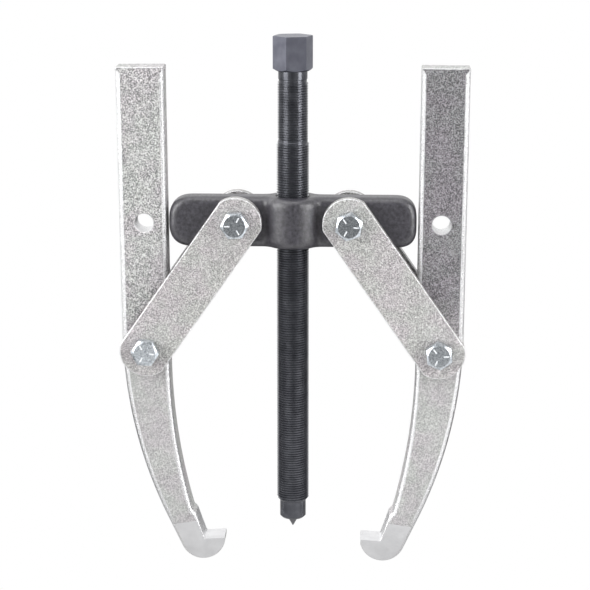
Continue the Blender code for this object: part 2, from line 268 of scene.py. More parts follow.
def thread(name, root, crest, crest_flat, pitch, low, high, per_turn=40):
    """A right-hand helical ridge that fades into its root at both ends."""
    turns = (high - low - pitch) / pitch
    steps = int(turns * per_turn)
    base_flat = min(crest_flat + 2 * (crest - root) * math.tan(math.radians(30)),
                    0.97 * pitch)
    sink = 0.25 * MM
    verts = []
    for i in range(steps + 1):
        angle = math.tau * i / per_turn
        height = low + pitch / 2 + pitch * i / per_turn
        fade = min(1.0, i / per_turn, (steps - i) / per_turn)
        top = root - sink * 0.5 + (crest - root + sink * 0.5) * fade
        for radius, offset in ((root - sink, -base_flat / 2), (top, -crest_flat / 2),
                               (top, crest_flat / 2), (root - sink, base_flat / 2)):
            verts.append((radius * math.cos(angle), radius * math.sin(angle),
                          height + offset))
    faces = [(0, 1, 2, 3), tuple(4 * steps + k for k in (3, 2, 1, 0))]
    for i in range(steps):
        for k in range(4):
            m = (k + 1) % 4
            faces.append((4 * i + k, 4 * i + m, 4 * i + 4 + m, 4 * i + 4 + k))
    return mesh_object(name, verts, faces)


def inward(outline):
    """For each point of a counterclockwise outline, its move for an inset of 1."""
    points = np.array(outline)
    before = points - np.roll(points, 1, axis=0)
    after = np.roll(points, -1, axis=0) - points
    normals = []
    for edge in (before, after):
        normal = np.stack([-edge[:, 1], edge[:, 0]], axis=1)
        normals.append(normal / np.linalg.norm(normal, axis=1)[:, None])
    total = normals[0] + normals[1]
    return total / (1.0 + (normals[0] * normals[1]).sum(axis=1))[:, None]


def slab(name, outline, half_depth, edge, weights=None, steps=5, margin=0.3 * MM):
    """A plate in XZ with rounded edges.

    A point's weight scales the rounding at it. The wear attribute is 1 on the
    rounding and falls to 0 just beside it.
    """
    points = np.array(outline)
    moves = inward(outline)
    edges = np.full(len(points), edge)
    if weights is not None:
        edges = edges * np.array(weights)
    layers = []
    front = [(edges + margin, np.zeros(len(points)), 0.0)]
    for k in range(steps + 1):
        angle = math.pi / 2 * k / steps
        front.append((edges * (1 - math.sin(angle)), edges * (1 - math.cos(angle)),
                      1.0))
    front.append((np.zeros(len(points)), edges + margin, 0.0))
    for inset, sunk, wear in front:
        layers.append((inset, sunk - half_depth, wear))
    for inset, sunk, wear in reversed(front):
        layers.append((inset, half_depth - sunk, wear))
    verts = []
    wears = []
    for inset, depth, wear in layers:
        flat = points + moves * inset[:, None]
        verts += [(x, y, z) for (x, z), y in zip(flat, depth)]
        wears += [wear] * len(points)
    count = len(points)
    faces = [tuple(range(count)),
             tuple(reversed(range(len(verts) - count, len(verts))))]
    for layer in range(len(layers) - 1):
        for i in range(count):
            j = (i + 1) % count
            a, b = layer * count, (layer + 1) * count
            faces.append((a + i, b + i, b + j, a + j))
    obj = mesh_object(name, verts, faces)
    attribute = obj.data.attributes.new("wear", "FLOAT", "POINT")
    attribute.data.foreach_set("value", np.array(wears, dtype=np.float32))
    return obj


def drill(obj, x, z, half_depth, radius=HOLE_RADIUS, chamfer=0.45 * MM):
    """A hole through a plate, front to back, with both its edges broken."""
    over = 4 * MM
    profile = [
        (0.0, half_depth + over),
        (radius + chamfer + over, half_depth + over),
        (radius, half_depth - chamfer),
        (radius, -half_depth + chamfer),
        (radius + chamfer + over, -half_depth - over),
        (0.0, -half_depth - over),
    ]
    cutter = lathe("drill", profile, 72)
    cutter.rotation_euler = (math.pi / 2, 0.0, 0.0)
    cutter.location = (x, 0.0, z)
    boolean(obj, cutter)


# --------------------------------------------------------------- materials
class Shader:
    """A Principled material and short ways to add its nodes."""

    def __init__(self, name, **settings):
        self.material = bpy.data.materials.new(name)
        self.material.use_nodes = True
        self.tree = self.material.node_tree
        self.principled = self.tree.nodes["Principled BSDF"]
        for socket, value in settings.items():
            self.principled.inputs[socket.replace("_", " ")].default_value = value
        self.coordinates = self.node("ShaderNodeTexCoord").outputs["Object"]

    def node(self, kind, **settings):
        made = self.tree.nodes.new(kind)
        for key, value in settings.items():
            if key in made.inputs:
                made.inputs[key].default_value = value
            else:
                setattr(made, key, value)
        return made

    def link(self, source, target):
        self.tree.links.new(source, target)

    def noise(self, scale, detail=3.0, roughness=0.6, stretch=(1.0, 1.0, 1.0)):
        """Noise of about 1 / scale metres, from 0 to 1."""
        place = self.node("ShaderNodeMapping")
        place.inputs["Scale"].default_value = stretch
        self.link(self.coordinates, place.inputs["Vector"])
        noise = self.node("ShaderNodeTexNoise")
        noise.inputs["Scale"].default_value = scale
        noise.inputs["Detail"].default_value = detail
        noise.inputs["Roughness"].default_value = roughness
        self.link(place.outputs["Vector"], noise.inputs["Vector"])
        return noise.outputs["Fac"]

    def ridges(self, scale):
        """Thin winding lines, 1 along them and 0 away from them."""
        middle = self.math("SUBTRACT", self.noise(scale, 1.0, 0.5), 0.5)
        return self.spread(self.math("ABSOLUTE", middle, 0.0), 0.0, 0.09, 1.0, 0.0)

    def spread(self, value, low, high, to_low=0.0, to_high=1.0):
        """value from low..high to to_low..to_high, clamped."""
        ranged = self.node("ShaderNodeMapRange")
        ranged.inputs["From Min"].default_value = low
        ranged.inputs["From Max"].default_value = high
        ranged.inputs["To Min"].default_value = to_low
        ranged.inputs["To Max"].default_value = to_high
        self.link(value, ranged.inputs["Value"])
        return ranged.outputs["Result"]

    def mix(self, factor, first, second, blend="MIX"):
        """Mix two colours; each is a colour or a socket, factor too."""
        mixer = self.node("ShaderNodeMix")
        mixer.data_type = "RGBA"
        mixer.blend_type = blend
        for name, value in (("Factor", factor), ("A", first), ("B", second)):
            kind = "Value" if name == "Factor" else "Color"
            socket = next(s for s in mixer.inputs
                          if s.name == name and s.enabled
                          and (kind == "Value") == (s.type == "VALUE"))
            if isinstance(value, bpy.types.NodeSocket):
                self.link(value, socket)
            elif kind == "Value":
                socket.default_value = value
            else:
                socket.default_value = (*value, 1.0)
        return next(s for s in mixer.outputs if s.type == "RGBA" and s.enabled)

    def math(self, operation, first, second):
        made = self.node("ShaderNodeMath")
        made.operation = operation
        for socket, value in zip(made.inputs, (first, second)):
            if isinstance(value, bpy.types.NodeSocket):
                self.link(value, socket)
            else:
                socket.default_value = value
        return made.outputs["Value"]

    def height(self):
        split = self.node("ShaderNodeSeparateXYZ")
        self.link(self.coordinates, split.inputs["Vector"])
        return split.outputs["Z"]

    def wear(self):
        return self.node("ShaderNodeAttribute", attribute_name="wear").outputs["Fac"]

    def color(self, value):
        self.link(value, self.principled.inputs["Base Color"])

    def metal(self, value):
        self.link(value, self.principled.inputs["Metallic"])

    def rough(self, value):
        self.link(value, self.principled.inputs["Roughness"])

    def bump(self, *layers):
        """Each layer is (height, depth in metres); later ones lie on earlier ones."""
        normal = None
        for height, depth in layers:
            bump = self.node("ShaderNodeBump")
            bump.inputs["Strength"].default_value = 1.0
            bump.inputs["Distance"].default_value = depth
            self.link(height, bump.inputs["Height"])
            if normal is not None:
                self.link(normal, bump.inputs["Normal"])
            normal = bump.outputs["Normal"]
        self.link(normal, self.principled.inputs["Normal"])


# between these heights the lower jaws' calmer grain grows to its full strength
CALM_FROM = (-98 * MM, -72 * MM)
# between these heights painted shade darkens the right jaw's upper part, and by how much
PAINTED_SHADE_FROM = (-72 * MM, -42 * MM)
PAINTED_SHADE_TINT = (0.50, 0.49, 0.515)


def forged_zinc(name, shade_low, shade_high, grain, calm=1.0, painted_shade=False):
    """Zinc plate over a rough forging: worm-like grain, rubbed smooth at the edges.

    calm scales the grain below CALM_FROM. When the last flag is set, painted shade darkens
    the colour above the heights given just above.
    """
    shader = Shader(name)
    fine = shader.noise(grain, 3.0, 0.7)
    worms = shader.ridges(grain * 0.75)
    broad = shader.noise(90.0, 3.0, 0.6)
    tint = shader.noise(55.0, 2.0, 0.5)
    relief = shader.math("MULTIPLY", shader.math("ADD", fine, worms), 0.5)
    strength = shader.spread(shader.height(), *CALM_FROM, calm, 1.0)
    middle = tuple((low + high) / 2 for low, high in zip(shade_low, shade_high))
    mottle_and_shade = shader.mix(shader.spread(relief, 0.29, 0.55), shade_low, shade_high)
    mottle_and_shade = shader.mix(strength, middle, mottle_and_shade)
    mottle_and_shade = shader.mix(shader.spread(broad, 0.35, 0.68, 0.0, 0.12), mottle_and_shade, shade_high)
    warm = shader.mix(shader.spread(tint, 0.40, 0.60), (1.0, 0.965, 0.975),
                      (0.985, 1.0, 0.965))
    mottle_and_shade = shader.mix(1.0, mottle_and_shade, warm, "MULTIPLY")
    # painted shade: the colour darkens over the upper part, standing in for less light
    # falling there
    if painted_shade:
        edge = shader.math("ADD", shader.height(), shader.math("MULTIPLY", broad, 12 * MM))
        mottle_and_shade = shader.mix(shader.spread(edge, *PAINTED_SHADE_FROM), mottle_and_shade,
                            shader.mix(1.0, mottle_and_shade, PAINTED_SHADE_TINT, "MULTIPLY"))
    worn = shader.wear()
    shader.color(shader.mix(shader.math("MULTIPLY", worn, 0.8), mottle_and_shade,
                            (0.86, 0.86, 0.87)))
    shader.metal(shader.spread(worn, 0.0, 1.0, 0.55, 1.0))
    rough = shader.spread(fine, 0.3, 0.7, 0.42, 0.58)
    shader.rough(shader.math("SUBTRACT", rough, shader.math("MULTIPLY", worn, 0.2)))
    worms = shader.math("MULTIPLY", worms, strength)
    fine = shader.math("MULTIPLY", fine, strength)
    shader.bump((broad, 0.18 * MM), (worms, 0.12 * MM), (fine, 0.12 * MM))
    return shader.material


def milled_zinc():
    """Zinc over a milled face: smooth, with faint tool lines."""
    shader = Shader("milled_zinc", Metallic=1.0)
    lines = shader.noise(260.0, 2.0, 0.5, (1.0, 1.0, 9.0))
    cloud = shader.noise(120.0, 3.0, 0.5)
    shader.color(shader.mix(shader.spread(cloud, 0.3, 0.7), (0.69, 0.69, 0.70),
                            (0.79, 0.79, 0.80)))
    shader.rough(shader.spread(lines, 0.3, 0.7, 0.34, 0.44))
    shader.bump((lines, 0.03 * MM), (cloud, 0.05 * MM))
    return shader.material


def bright_zinc():
    """Blue-white zinc on turned and rolled fasteners."""
    shader = Shader("bright_zinc", Metallic=0.95)
    cloud = shader.noise(650.0, 3.0, 0.65)
    fine = shader.noise(2000.0, 2.0, 0.6)
    shader.color(shader.mix(shader.spread(cloud, 0.35, 0.65), (0.46, 0.50, 0.54),
                            (0.80, 0.84, 0.88)))
    shader.rough(shader.spread(fine, 0.3, 0.7, 0.22, 0.34))
    shader.bump((cloud, 0.09 * MM), (fine, 0.015 * MM))
    return shader.material


def raised_zinc():
    """The raised grade marks on the bolt heads, rubbed pale and matt."""
    shader = Shader("raised_zinc", Metallic=0.2)
    cloud = shader.noise(900.0, 3.0, 0.6)
    shader.color(shader.mix(shader.spread(cloud, 0.3, 0.7), (0.74, 0.77, 0.80),
                            (0.92, 0.94, 0.96)))
    shader.rough(shader.spread(cloud, 0.3, 0.7, 0.35, 0.55))
    shader.bump((cloud, 0.03 * MM))
    return shader.material


def black_forging():
    """A thin satin black coat over a forging."""
    shader = Shader("black_forging", Metallic=0.0, Specular_IOR_Level=0.9)
    grain = shader.noise(700.0, 4.0, 0.65)
    broad = shader.noise(110.0, 3.0, 0.5)
    cloud = shader.noise(420.0, 4.0, 0.7)
    shader.color(shader.mix(shader.spread(cloud, 0.35, 0.65), (0.018, 0.017, 0.021),
                            (0.060, 0.057, 0.069)))
    shader.rough(shader.spread(grain, 0.3, 0.7, 0.30, 0.46))
    shader.bump((broad, 0.35 * MM), (grain, 0.15 * MM))
    return shader.material


def black_oxide():
    """Oiled black oxide on turned steel."""
    shader = Shader("black_oxide", Metallic=0.65)
    cloud = shader.noise(160.0, 3.0, 0.5)
    fine = shader.noise(1500.0, 3.0, 0.6)
    shader.color(shader.mix(shader.spread(cloud, 0.3, 0.7), (0.058, 0.060, 0.070),
                            (0.108, 0.111, 0.125)))
    shader.rough(shader.spread(fine, 0.3, 0.7, 0.14, 0.26))
    shader.bump((cloud, 0.06 * MM), (fine, 0.02 * MM))
    return shader.material


def satin_oxide():
    """The same black oxide over the duller, forged hexagon."""
    shader = Shader("satin_oxide", Metallic=0.82)
    cloud = shader.noise(130.0, 3.0, 0.5)
    fine = shader.noise(1300.0, 3.0, 0.6)
    shader.color(shader.mix(shader.spread(cloud, 0.3, 0.7), (0.125, 0.128, 0.158),
                            (0.180, 0.184, 0.220)))
    shader.rough(shader.spread(fine, 0.3, 0.7, 0.34, 0.46))
    shader.bump((cloud, 0.10 * MM), (fine, 0.02 * MM))
    return shader.material


def hardened_steel():
    """The point: bare hardened steel with turning marks."""
    shader = Shader("hardened_steel", Metallic=1.0)
    rings = shader.noise(300.0, 2.0, 0.5, (0.3, 0.3, 9.0))
    shader.color(shader.mix(shader.spread(rings, 0.3, 0.7), (0.12, 0.12, 0.13),
                            (0.26, 0.26, 0.27)))
    shader.rough(shader.spread(rings, 0.3, 0.7, 0.28, 0.40))
    shader.bump((rings, 0.02 * MM))
    return shader.material


def nylon():
    shader = Shader("nylon", Metallic=0.0, Subsurface_Weight=0.15)
    cloud = shader.noise(500.0, 3.0, 0.5)
    shader.color(shader.mix(shader.spread(cloud, 0.3, 0.7), (0.62, 0.64, 0.66),
                            (0.78, 0.79, 0.80)))
    shader.rough(shader.spread(cloud, 0.3, 0.7, 0.40, 0.55))
    shader.bump((cloud, 0.05 * MM))
    return shader.material


# the darkest and the lightest shade of the plated grain, and the grain's fineness
JAW_SHADES = ((0.19, 0.19, 0.195), (0.78, 0.78, 0.785))
STRAP_SHADES = ((0.19, 0.185, 0.187), (0.72, 0.712, 0.715))
PLATED_GRAIN = 1500.0
JAW_CALM = 0.52
MATERIALS = {
    "jaw_zinc": forged_zinc("jaw_zinc", *JAW_SHADES, PLATED_GRAIN, JAW_CALM),
    # the right jaw's zinc, with painted shade over its upper part
    "painted_shade_jaw_zinc": forged_zinc("painted_shade_jaw_zinc", *JAW_SHADES, PLATED_GRAIN, JAW_CALM,
                                 painted_shade=True),
    "strap_zinc": forged_zinc("strap_zinc", *STRAP_SHADES, PLATED_GRAIN),
    "milled_zinc": milled_zinc(),
    "bright_zinc": bright_zinc(),
    "black_forging": black_forging(),
    "black_oxide": black_oxide(),
    "satin_oxide": satin_oxide(),
    "raised_zinc": raised_zinc(),
    "hardened_steel": hardened_steel(),
    "nylon": nylon(),
}


def finish_piece(obj, materials, slot, body, *nodes):
    """Put the piece's place into its mesh; give it its materials and body. slot is not
    used.
    """
    bpy.context.view_layer.update()
    obj.data.transform(obj.matrix_world)
    obj.location = (0.0, 0.0, 0.0)
    obj.rotation_euler = (0.0, 0.0, 0.0)
    for material in materials:
        obj.data.materials.append(MATERIALS[material])
    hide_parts(*nodes)
    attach(obj, body)


# -------------------------------------------------------------------- yoke
YOKE_HALF_DEPTH = 9.3 * MM
YOKE_ROLLED = 0.5 * MM                      # how far its soft top lies below the box
YOKE_EDGE = 5.4 * MM
YOKE_GRID = 0.8 * MM


def yoke_front():
    """The bar from the front; its left end is rounder than its right."""
    top, low = YOKE_HIGH.z - YOKE_ROLLED, YOKE_LOW.z
    right, left = YOKE_HIGH.x, YOKE_LOW.x
    outline = [(right, low), (right, top), (left, top), (left, low)]
    radii = [12.0 * MM, 13.5 * MM, 21.0 * MM, 21.0 * MM]
    return soften(outline, radii, 16, closed=True)


def yoke_plan(overrun):
    """The bar from above, with its boss; overrun lengthens it past both ends."""
    boss, fillet, half_depth = YOKE_HIGH.y, 5.0 * MM, YOKE_HALF_DEPTH
    center_y = half_depth + fillet
    center_x = math.sqrt((boss + fillet) ** 2 - center_y ** 2)
    lean = math.degrees(math.atan2(center_y, center_x))
    right = [(YOKE_HIGH.x + overrun, half_depth)]
    right += arc((center_x, center_y), fillet, 270.0, 180.0 + lean, 10)
    crown = arc((0.0, 0.0), boss, lean, 180.0 - lean, 32)
    back = right + crown[1:-1] + [(-x, y) for x, y in reversed(right)]
    return back + [(-x, -y) for x, y in back]


def make_yoke():
    yoke = upright_prism("yoke_forging", yoke_front(), 2 * YOKE_HIGH.y)
    overrun = 10 * MM
    boolean(yoke, prism("plan", yoke_plan(overrun), -YOKE_HIGH.z - overrun,
                        YOKE_HIGH.z + overrun), "INTERSECT")
    add_modifier(yoke, "BEVEL", width=YOKE_EDGE, segments=5, limit_method="ANGLE",
                 angle_limit=math.radians(50))
    add_modifier(yoke, "REMESH", mode="VOXEL", voxel_size=YOKE_GRID)
    add_modifier(yoke, "SMOOTH", factor=0.5, iterations=10)
    apply_modifiers(yoke)
    yoke.data.transform(yoke.matrix_world)
    yoke.rotation_euler = (0.0, 0.0, 0.0)
    radius, break_edge, over = 10.65 * MM, 1.1 * MM, 4 * MM
    bore = lathe("bore", [
        (0.0, YOKE_HIGH.z + over),
        (radius + break_edge + over, YOKE_HIGH.z + over),
        (radius, YOKE_HIGH.z - break_edge),
        (radius, YOKE_LOW.z + break_edge),
        (radius + break_edge + over, YOKE_LOW.z - over),
        (0.0, YOKE_LOW.z - over)], 96)
    boolean(yoke, bore)
    for sign in SIDES.values():
        drill(yoke, sign * BOLT_X, 0.0, YOKE_HALF_DEPTH, chamfer=0.3 * MM)
    shade(yoke, 40.0, weighted=False)
    finish_piece(yoke, ["black_forging"], "black_forging", "yoke", "yoke")


# ------------------------------------------------------------------- screw
HEX_TOP = SCREW_HIGH.z
HEX_BOTTOM = HEX_TOP - 22.0 * MM
NECK_BOTTOM = HEX_BOTTOM - 5.0 * MM
UPPER_THREAD_END = 51.8 * MM
THREAD_END = -188.0 * MM
NOSE_END = SCREW_LOW.z
HEX_ACROSS_FLATS = 22.225 * MM
HEX_TURN = 13.4
NECK_RADIUS = 9.2 * MM
NOSE_RADIUS = 8.45 * MM
CREST, ROOT = 10.32 * MM, 9.35 * MM
UPPER_CREST, UPPER_ROOT = 9.65 * MM, 8.8 * MM


def make_screw():
    corner = HEX_ACROSS_FLATS / math.sqrt(3.0)
    top_face, face = 12.2 * MM, 10.1 * MM
    slope = math.tan(math.radians(30))
    head = lathe("forcing_screw", soften([
        (0.0, HEX_TOP),
        (top_face, HEX_TOP),
        (corner + 1 * MM, HEX_TOP - (corner + 1 * MM - top_face) * slope),
        (corner + 1 * MM, HEX_BOTTOM + (corner + 1 * MM - face) * slope),
        (face, HEX_BOTTOM),
        (0.0, HEX_BOTTOM)], 0.2 * MM), 96)
    hexed(head, HEX_ACROSS_FLATS, HEX_TURN, HEX_BOTTOM - 1 * MM, HEX_TOP + 1 * MM,
          0.6 * MM)
    shade(head)
    bore = 4.1 * MM
    depth = POINT_HIGH.z + 0.3 * MM
    shank = lathe("shank", soften([
        (0.0, HEX_BOTTOM + 2 * MM),
        (NECK_RADIUS, HEX_BOTTOM + 2 * MM),
        (NECK_RADIUS, NECK_BOTTOM),
        (UPPER_ROOT, NECK_BOTTOM - 0.3 * MM),
        (UPPER_ROOT, UPPER_THREAD_END + 0.4 * MM),
        (ROOT, UPPER_THREAD_END),
        (ROOT, THREAD_END + 1.2 * MM),
        (NOSE_RADIUS, THREAD_END),
        (NOSE_RADIUS, NOSE_END + 1.3 * MM),
        (NOSE_RADIUS - 1.3 * MM, NOSE_END),
        (bore, NOSE_END),
        (bore, depth),
        (0.0, depth)], 0.15 * MM), 96)
    shade(shank)
    crest_flat = SCREW_PITCH / 8
    upper_flat = crest_flat + 0.15 * SCREW_PITCH
    lower = thread("lower", ROOT, CREST, crest_flat, SCREW_PITCH, THREAD_END,
                   UPPER_THREAD_END)
    upper = thread("upper", UPPER_ROOT, UPPER_CREST, upper_flat, SCREW_PITCH,
                   UPPER_THREAD_END - SCREW_PITCH, NECK_BOTTOM)
    for ridge in (lower, upper):
        shade(ridge, 25.0, weighted=False)
    for turned in (shank, lower, upper):
        use_material(turned, 1)
    join(head, shank, lower, upper)
    finish_piece(head, ["satin_oxide", "black_oxide"], "black_oxide", "screw",
                 "forcing_screw")


def make_point():
    radius = POINT_HIGH.x
    point = lathe("center_point_cone", soften([
        (0.0, POINT_HIGH.z),
        (radius, POINT_HIGH.z),
        (radius, NOSE_END),
        (0.25 * MM, POINT_LOW.z),
        (0.0, POINT_LOW.z)], 0.25 * MM, 3), 64)
    shade(point)
    finish_piece(point, ["hardened_steel"], "hardened_steel", "screw_point",
                 "center_point")


# ------------------------------------------------------------------ straps
def strap_outline():
    half_width = 15.875 * MM
    end_radius = 16.88 * MM
    half_angle = math.degrees(math.asin(half_width / end_radius))
    near = arc((0.0, 0.0), end_radius, 180.0 - half_angle, 180.0 + half_angle, 40)
    far = arc((STRAP_PITCH, 0.0), end_radius, -half_angle, half_angle, 40)
    return near + far


def make_strap(side, place):
    sign = SIDES[side]
    node = side + "_" + place + "_strap"
    strap = slab(node + "_bar", strap_outline(), STRAP_THICKNESS / 2, 0.5 * MM,
                 steps=4, margin=0.15 * MM)
    for x in (0.0, STRAP_PITCH):
        drill(strap, x, 0.0, STRAP_THICKNESS / 2)
    shade(strap)
    lean = STRAP_LEAN if sign > 0 else math.pi - STRAP_LEAN
    strap.rotation_euler = (0.0, lean, 0.0)
    strap.location = (sign * BOLT_X, center_of(node).y, 0.0)
    finish_piece(strap, ["strap_zinc"], "zinc_plate", side + "_straps", node)


# -------------------------------------------------------------------- jaws
def jaw_outline():
    """The right jaw's outline and the weight of the rounding at each point."""
    slope = math.radians(HOOK_SLOPE)
    hook_start = (HOOK_CENTER[0] + HOOK_RADIUS * math.cos(slope),
                  HOOK_CENTER[1] - HOOK_RADIUS * math.sin(slope))
    run = (JAW_OUTSIDE - hook_start[0]) * math.cos(slope)
    drop = (OUTER_BEND_START - hook_start[1]) * math.sin(slope)
    outer_radius = (drop - run) / (1.0 - math.cos(slope))
    outer = arc((JAW_OUTSIDE - outer_radius, OUTER_BEND_START), outer_radius,
                -HOOK_SLOPE, 0.0, 24)
    hook = arc(HOOK_CENTER, HOOK_RADIUS, 193.0, 360.0 - HOOK_SLOPE, 40)
    sweep = math.degrees(math.asin((INNER_BEND_START - LEDGE_TOP)
                                   / INNER_BEND_RADIUS))
    inner = arc((-JAW_INSIDE - INNER_BEND_RADIUS, INNER_BEND_START),
                INNER_BEND_RADIUS, 0.0, -sweep, 20)
    shoulder = JAW_TOP - 4 * MM
    hook_weights = np.interp(np.arange(len(hook)), (0, 6, 24, 40), (0.3, 0.5, 0.6, 1.0))
    middle = tuple((np.array(LEDGE_CORNER) + np.array(THROAT)) / 2)
    near_throat = tuple(np.array(THROAT) * 0.9 + np.array(LEDGE_CORNER) * 0.1)
    near_tip = tuple(np.array(HOOK_TIP) * 0.1 + np.array(THROAT) * 0.9)
    marked = [((JAW_OUTSIDE, shoulder), 1.0), ((JAW_OUTSIDE, JAW_TOP), 0.15),
              ((-JAW_INSIDE, JAW_TOP), 0.15), ((-JAW_INSIDE, shoulder), 0.85)]
    marked += [(point, 0.85) for point in inner[:-1]]
    marked += [(inner[-1], 0.75), (LEDGE_CORNER, 0.65), (middle, 0.55),
               (near_throat, 0.45), (THROAT, 0.2), (near_tip, 0.15), (HOOK_TIP, 0.15)]
    marked += list(zip(hook, hook_weights))
    marked += [(point, 1.0) for point in outer[1:]]
    outline = [point for point, weight in marked]
    weights = [weight for point, weight in marked]
    return outline, weights


def mill_hook(jaw, sign):
    """Cut both faces of the hook back to clean flats."""
    length = 40 * MM
    for face in (-1, 1):
        outline = [(-35 * MM, -length), (35 * MM, -length), (35 * MM, 0.0),
                   (-35 * MM, 0.0)]
        mill = upright_prism("mill", outline, 5 * MM)
        mill.rotation_euler = (math.pi / 2, sign * MILLED_LEAN, 0.0)
        mill.location = (sign * HOOK_CENTER[0],
                         face * (JAW_HALF_DEPTH - MILLED_DEPTH + 5 * MM), MILLED_TOP)
        boolean(jaw, mill)


def mark_milled(jaw, sign):
    """Tell the milled faces (1) and the sides (2) from the forged faces (0)."""
    for face in jaw.data.polygons:
        u, depth, w = sign * face.center.x, face.center.y, face.center.z
        flat = abs(face.normal.y) > 0.99
        on_face = flat and abs(abs(depth) - (JAW_HALF_DEPTH - MILLED_DEPTH)) < 0.05 * MM
        in_throat = (abs(face.normal.y) < 0.2 and w < LEDGE_CORNER[1]
                     and u < LEDGE_CORNER[0] and w > HOOK_TIP[1] - 1.2 * MM
                     and abs(depth) < JAW_HALF_DEPTH - 0.5 * MM)
        if on_face or in_throat:
            face.material_index = 1
        elif abs(face.normal.y) < 0.3:
            face.material_index = 2


# the right jaw's faces take the zinc with painted shade on their upper part
JAW_FACE_ZINC = {"left": "jaw_zinc", "right": "painted_shade_jaw_zinc"}


def make_jaw(side):
    sign = SIDES[side]
    outline, weights = jaw_outline()
    outline = [(sign * u, w) for u, w in outline]
    if sign < 0:
        outline.reverse()
        weights.reverse()
    node = side + "_jaw"
    jaw = slab(node + "_forging", outline, JAW_HALF_DEPTH, JAW_EDGE, weights)
    add_modifier(jaw, "BEVEL", width=0.5 * MM, segments=2, limit_method="ANGLE",
                 angle_limit=math.radians(25))
    apply_modifiers(jaw)
    mill_hook(jaw, sign)
    drill(jaw, 0.0, 0.0, JAW_HALF_DEPTH)
    drill(jaw, 0.0, JAW_REACH_HOLE, JAW_HALF_DEPTH, chamfer=0.7 * MM)
    mark_milled(jaw, sign)
    shade(jaw)
    jaw.rotation_euler = (0.0, sign * JAW_TILT, 0.0)
    jaw.location = (sign * JAW_BOLT.x, 0.0, JAW_BOLT.z)
    finish_piece(jaw, [JAW_FACE_ZINC[side], "milled_zinc", "jaw_zinc"], "zinc_forging",
                 side + "_hook_jaw", node)


# --------------------------------------------------------------- fasteners
BOLT_RADIUS = 5.556 * MM
BOLT_LENGTH = 44.45 * MM
HEAD_ACROSS_FLATS = 15.875 * MM
HEAD_HEIGHT = 7.1 * MM
HEAD_FACE = 6.95 * MM
NUT_ACROSS_FLATS = 17.46 * MM
NUT_HEIGHT = 11.1 * MM
NUT_TURN = 12.0
NUT_BORE = 5.86 * MM
NUT_FLATS_TOP = 7.6 * MM
INSERT_OUTER = 7.2 * MM
INSERT_GAP = 0.3 * MM                       # round the ring, in the nut's pocket
POCKET_TOP = NUT_HEIGHT - 0.7 * MM
# each head's first corner and its three grade marks, in degrees above +X
HEADS = {
    "left_yoke": (3.0, (180.0, 62.0, -60.0)),
    "right_yoke": (20.0, (124.0, -3.0, -117.0)),
    "left_jaw": (-3.0, (120.0, -2.0, -120.0)),
    "right_jaw": (36.0, (127.0, 2.0, -114.0)),
}


def grade_mark(angle):
    """A raised radial bar near the rim of a bolt head."""
    inner, outer, half_width = 2.9 * MM, 6.3 * MM, 0.42 * MM
    outline = soften([(inner, -half_width), (outer, -half_width),
                      (outer, half_width), (inner, half_width)], 0.3 * MM, 3,
                     closed=True)
    mark = prism("mark", outline, HEAD_HEIGHT - 0.5 * MM, HEAD_HEIGHT)
    add_modifier(mark, "BEVEL", width=0.12 * MM, segments=2, limit_method="ANGLE")
    apply_modifiers(mark)
    use_material(mark, 1)
    mark.rotation_euler = (0.0, 0.0, math.radians(angle))
    bpy.context.view_layer.update()
    return mark


def bolt_place(name, depth):
    """The place of a bolt's head or its nut: name is a side and an end, yoke or jaw."""
    side, end = name.split("_")
    x, z = (BOLT_X, 0.0) if end == "yoke" else (JAW_BOLT.x, JAW_BOLT.z)
    return SIDES[side] * x, depth, z


def make_bolt(name, body):
    node = name + "_bolt"
    corner_turn, marks = HEADS[name]
    corner = HEAD_ACROSS_FLATS / math.sqrt(3.0)
    slope = math.tan(math.radians(30))
    washer = 0.4 * MM
    lip = HEAD_HEIGHT - 0.22 * MM
    outside = corner + 1 * MM
    head = lathe(node + "_head", soften([
        (0.0, lip),
        (HEAD_FACE, lip),
        (outside, lip - (outside - HEAD_FACE) * slope),
        (outside, washer),
        (0.0, washer)], 0.1 * MM), 72)
    hexed(head, HEAD_ACROSS_FLATS, corner_turn, -1 * MM, HEAD_HEIGHT + 1 * MM,
          0.16 * MM)
    shade(head)
    face = 7.5 * MM
    shank = lathe("shank", soften([
        (0.0, washer + 0.5 * MM),
        (face, washer + 0.5 * MM),
        (face, 0.0),
        (BOLT_RADIUS, 0.0),
        (BOLT_RADIUS, -26 * MM),
        (BOLT_RADIUS - 0.75 * MM, -26.8 * MM),
        (BOLT_RADIUS - 0.75 * MM, -BOLT_LENGTH + 0.6 * MM),
        (BOLT_RADIUS - 1.3 * MM, -BOLT_LENGTH),
        (0.0, -BOLT_LENGTH)], 0.1 * MM), 64)
    shade(shank)
    ridge = thread("ridge", BOLT_RADIUS - 0.9 * MM, BOLT_RADIUS, BOLT_PITCH / 8,
                   BOLT_PITCH, -BOLT_LENGTH - 0.2 * MM, -26 * MM)
    shade(ridge, 25.0, weighted=False)
    join(head, shank, ridge, *[grade_mark(angle) for angle in marks])
    head.rotation_euler = (math.pi / 2, 0.0, 0.0)
    head.location = bolt_place(name, -SEAT_Y)
    finish_piece(head, ["bright_zinc", "raised_zinc"], "zinc_hardware", body, node)


